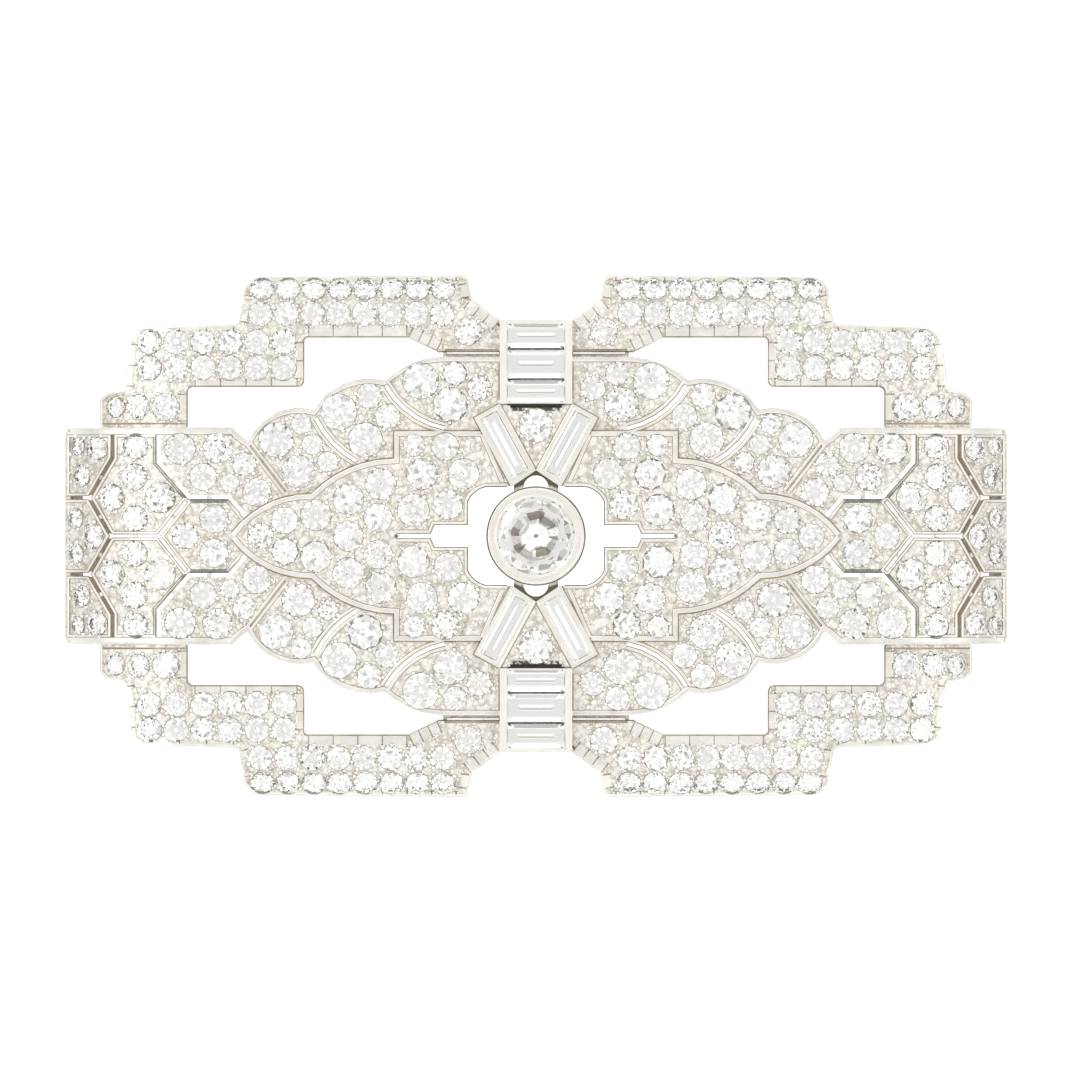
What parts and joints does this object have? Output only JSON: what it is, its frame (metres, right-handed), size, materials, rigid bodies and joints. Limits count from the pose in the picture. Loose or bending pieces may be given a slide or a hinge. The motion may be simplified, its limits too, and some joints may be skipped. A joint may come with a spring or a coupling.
{
  "type": "diamond brooch",
  "caption": "Long pierced platinum brooch with curled ends, stepped open frames, scalloped fans, honeycomb ends and a collet-set round centre stone.",
  "frame": {"origin": "centre of the bounding box at its base, on the surface that the curled ends rest on", "axes": "+X along the length of the brooch, +Y across it, +Z out of its face"},
  "size_m": [0.064, 0.0352, 0.0076],
  "materials": {
    "platinum": "polished and bright-cut platinum with fine graver marks and grain beads",
    "pin_metal": "plain polished white metal",
    "diamond": "clear faceted stone, near colourless"
  },
  "bodies": {
    "root": {"mount": "platinum", "pin": "pin_metal", "centre_diamond": "diamond", "upper_round": "diamond", "lower_round": "diamond", "chevron_baguette_upper_left": "diamond", "chevron_baguette_upper_right": "diamond", "chevron_baguette_lower_left": "diamond", "chevron_baguette_lower_right": "diamond", "bar_baguette_upper_1": "diamond", "bar_baguette_upper_2": "diamond", "bar_baguette_upper_3": "diamond", "bar_baguette_lower_1": "diamond", "bar_baguette_lower_2": "diamond", "bar_baguette_lower_3": "diamond", "fan_stones_upper_left": "diamond", "fan_stones_upper_right": "diamond", "fan_stones_lower_left": "diamond", "fan_stones_lower_right": "diamond", "arrow_stones_left": "diamond", "arrow_stones_right": "diamond", "end_stones_left": "diamond", "end_stones_right": "diamond"}
  },
  "joints": []
}
